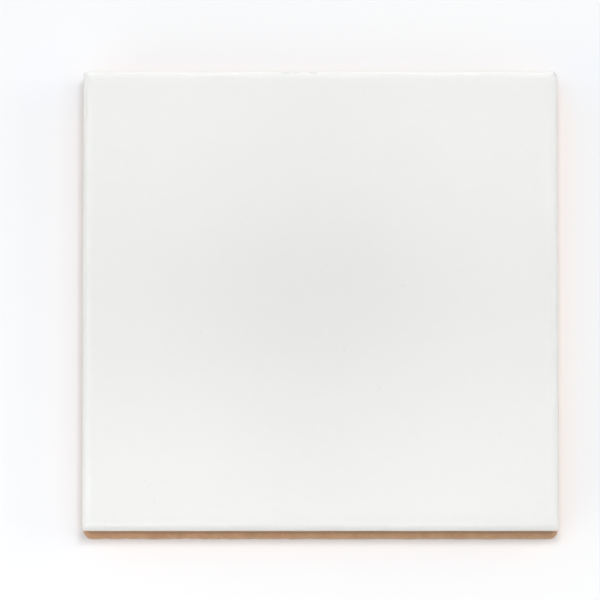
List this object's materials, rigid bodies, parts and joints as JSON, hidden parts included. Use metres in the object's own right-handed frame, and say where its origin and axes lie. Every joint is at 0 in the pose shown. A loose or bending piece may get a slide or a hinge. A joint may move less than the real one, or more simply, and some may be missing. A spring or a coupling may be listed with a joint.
{
  "type": "ceramic wall tile",
  "caption": "Square white glazed ceramic wall tile with a softly rolled edge, a glazed lip over its bare tan clay sides and a keyed back for adhesive.",
  "frame": {"origin": "middle of the back, on the bedding plane", "axes": "+Z out of the glazed face, X and Y along the sides, with the picture's near side at -Y"},
  "size_m": [0.1, 0.1, 0.0095],
  "materials": {
    "glazed_tile": "gloss"
  },
  "bodies": {
    "root": {"wall_tile": "glazed_tile"}
  },
  "joints": []
}
